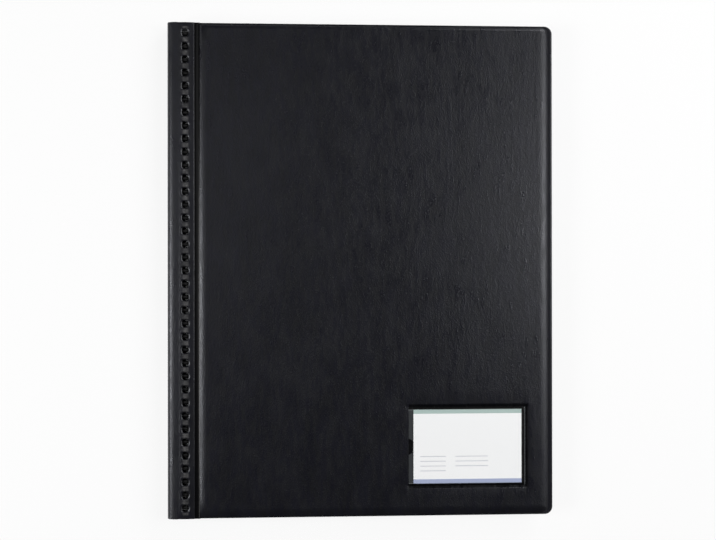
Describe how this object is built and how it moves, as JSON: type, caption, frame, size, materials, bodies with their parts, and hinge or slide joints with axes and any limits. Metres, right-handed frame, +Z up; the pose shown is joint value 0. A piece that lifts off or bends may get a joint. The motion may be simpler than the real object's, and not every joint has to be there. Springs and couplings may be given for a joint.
{
  "type": "clear pocket display book",
  "caption": "Closed black leather-look display book with a punched strip along the spine, ring-bound clear pockets and a clear label window on the front cover.",
  "frame": {"origin": "centre of the book's outline on the plane that the back cover rests on", "axes": "+X from the spine to the fore-edge, +Y from the bottom of the page to its top, +Z up out of the front cover"},
  "size_m": [0.2496, 0.3186, 0.0161],
  "materials": {
    "vinyl_skin": "fine leather grain",
    "vinyl_lining": "matte",
    "greyboard": "raw",
    "comb_plastic": "moulded",
    "rivet_steel": "black",
    "pocket_film": "clear film",
    "insert_paper": "black paper",
    "window_film": "clear film",
    "card_stock": "coated card"
  },
  "bodies": {
    "back_cover": {"back_panel_skin": "vinyl_skin", "back_board": "greyboard", "back_panel_lining": "vinyl_lining"},
    "spine_base": {"back_strip_skin": "vinyl_skin", "back_strip_lining": "vinyl_lining", "back_hinge_weld": "vinyl_skin", "ring_comb": "comb_plastic", "comb_rivets": "rivet_steel"},
    "spine_wall": {"spine_wall_skin": "vinyl_skin", "spine_wall_lining": "vinyl_lining"},
    "punched_strip": {"punched_strip_skin": "vinyl_skin", "punched_strip_lining": "vinyl_lining", "front_hinge_weld": "vinyl_skin"},
    "front_cover": {"front_panel_skin": "vinyl_skin", "front_board": "greyboard", "front_panel_lining": "vinyl_lining", "label_window": "window_film"},
    "label_card": {"label_card": "card_stock"},
    "pocket_01": {"pocket_01": "pocket_film"},
    "insert_01": {"insert_01": "insert_paper"},
    "pocket_02": {"pocket_02": "pocket_film"},
    "insert_02": {"insert_02": "insert_paper"},
    "pocket_03": {"pocket_03": "pocket_film"},
    "insert_03": {"insert_03": "insert_paper"},
    "pocket_04": {"pocket_04": "pocket_film"},
    "insert_04": {"insert_04": "insert_paper"},
    "pocket_05": {"pocket_05": "pocket_film"},
    "insert_05": {"insert_05": "insert_paper"},
    "pocket_06": {"pocket_06": "pocket_film"},
    "insert_06": {"insert_06": "insert_paper"},
    "pocket_07": {"pocket_07": "pocket_film"},
    "insert_07": {"insert_07": "insert_paper"},
    "pocket_08": {"pocket_08": "pocket_film"},
    "insert_08": {"insert_08": "insert_paper"},
    "pocket_09": {"pocket_09": "pocket_film"},
    "insert_09": {"insert_09": "insert_paper"},
    "pocket_10": {"pocket_10": "pocket_film"},
    "insert_10": {"insert_10": "insert_paper"}
  },
  "joints": [
    {"name": "back_cover_fold", "type": "hinge", "parent": "back_cover", "child": "spine_base", "pos_m": [-0.10585, 0, 0.00095], "axis": [0, -1, 0], "range_deg": [0, 90]},
    {"name": "cover_opening", "type": "hinge", "parent": "spine_base", "child": "spine_wall", "pos_m": [-0.1248, 0, 0], "axis": [0, -1, 0], "range_deg": [0, 90]},
    {"name": "strip_unfold", "type": "hinge", "parent": "spine_wall", "child": "punched_strip", "pos_m": [-0.1248, 0, 0.0154], "axis": [0, -1, 0], "range_deg": [0, 90]},
    {"name": "front_cover_lift", "type": "hinge", "parent": "punched_strip", "child": "front_cover", "pos_m": [-0.10585, 0, 0.01445], "axis": [0, -1, 0], "range_deg": [0, 90]},
    {"name": "label_card_slide", "type": "slide", "parent": "front_cover", "child": "label_card", "axis": [-1, 0, 0], "range_m": [0, 0.072]},
    {"name": "pocket_turn_01", "type": "hinge", "parent": "spine_base", "child": "pocket_01", "pos_m": [-0.1134, 0, 0.0077], "axis": [0, -1, 0], "range_deg": [0, 11]},
    {"name": "insert_slide_01", "type": "slide", "parent": "pocket_01", "child": "insert_01", "axis": [0, 1, 0], "range_m": [0, 0.3]},
    {"name": "pocket_turn_02", "type": "hinge", "parent": "spine_base", "child": "pocket_02", "pos_m": [-0.1134, 0, 0.0077], "axis": [0, -1, 0], "range_deg": [0, 28]},
    {"name": "insert_slide_02", "type": "slide", "parent": "pocket_02", "child": "insert_02", "axis": [0, 1, 0], "range_m": [0, 0.3]},
    {"name": "pocket_turn_03", "type": "hinge", "parent": "spine_base", "child": "pocket_03", "pos_m": [-0.1134, 0, 0.0077], "axis": [0, -1, 0], "range_deg": [0, 46]},
    {"name": "insert_slide_03", "type": "slide", "parent": "pocket_03", "child": "insert_03", "axis": [0, 1, 0], "range_m": [0, 0.3]},
    {"name": "pocket_turn_04", "type": "hinge", "parent": "spine_base", "child": "pocket_04", "pos_m": [-0.1134, 0, 0.0077], "axis": [0, -1, 0], "range_deg": [0, 64]},
    {"name": "insert_slide_04", "type": "slide", "parent": "pocket_04", "child": "insert_04", "axis": [0, 1, 0], "range_m": [0, 0.3]},
    {"name": "pocket_turn_05", "type": "hinge", "parent": "spine_base", "child": "pocket_05", "pos_m": [-0.1134, 0, 0.0077], "axis": [0, -1, 0], "range_deg": [0, 82]},
    {"name": "insert_slide_05", "type": "slide", "parent": "pocket_05", "child": "insert_05", "axis": [0, 1, 0], "range_m": [0, 0.3]},
    {"name": "pocket_turn_06", "type": "hinge", "parent": "spine_base", "child": "pocket_06", "pos_m": [-0.1134, 0, 0.0077], "axis": [0, -1, 0], "range_deg": [0, 100]},
    {"name": "insert_slide_06", "type": "slide", "parent": "pocket_06", "child": "insert_06", "axis": [0, 1, 0], "range_m": [0, 0.3]},
    {"name": "pocket_turn_07", "type": "hinge", "parent": "spine_base", "child": "pocket_07", "pos_m": [-0.1134, 0, 0.0077], "axis": [0, -1, 0], "range_deg": [0, 117]},
    {"name": "insert_slide_07", "type": "slide", "parent": "pocket_07", "child": "insert_07", "axis": [0, 1, 0], "range_m": [0, 0.3]},
    {"name": "pocket_turn_08", "type": "hinge", "parent": "spine_base", "child": "pocket_08", "pos_m": [-0.1134, 0, 0.0077], "axis": [0, -1, 0], "range_deg": [0, 135]},
    {"name": "insert_slide_08", "type": "slide", "parent": "pocket_08", "child": "insert_08", "axis": [0, 1, 0], "range_m": [0, 0.3]},
    {"name": "pocket_turn_09", "type": "hinge", "parent": "spine_base", "child": "pocket_09", "pos_m": [-0.1134, 0, 0.0077], "axis": [0, -1, 0], "range_deg": [0, 153]},
    {"name": "insert_slide_09", "type": "slide", "parent": "pocket_09", "child": "insert_09", "axis": [0, 1, 0], "range_m": [0, 0.3]},
    {"name": "pocket_turn_10", "type": "hinge", "parent": "spine_base", "child": "pocket_10", "pos_m": [-0.1134, 0, 0.0077], "axis": [0, -1, 0], "range_deg": [0, 171]},
    {"name": "insert_slide_10", "type": "slide", "parent": "pocket_10", "child": "insert_10", "axis": [0, 1, 0], "range_m": [0, 0.3]}
  ],
  "couplings": [
    {"joint": "strip_unfold", "follows": "cover_opening", "ratio": 1},
    {"joint": "pocket_turn_01", "follows": "cover_opening", "ratio": 0.1111},
    {"joint": "pocket_turn_02", "follows": "cover_opening", "ratio": 0.3086},
    {"joint": "pocket_turn_03", "follows": "cover_opening", "ratio": 0.5062},
    {"joint": "pocket_turn_04", "follows": "cover_opening", "ratio": 0.7037},
    {"joint": "pocket_turn_05", "follows": "cover_opening", "ratio": 0.9012},
    {"joint": "pocket_turn_06", "follows": "cover_opening", "ratio": 1.0988},
    {"joint": "pocket_turn_07", "follows": "cover_opening", "ratio": 1.2963},
    {"joint": "pocket_turn_08", "follows": "cover_opening", "ratio": 1.4938},
    {"joint": "pocket_turn_09", "follows": "cover_opening", "ratio": 1.6914},
    {"joint": "pocket_turn_10", "follows": "cover_opening", "ratio": 1.8889}
  ]
}
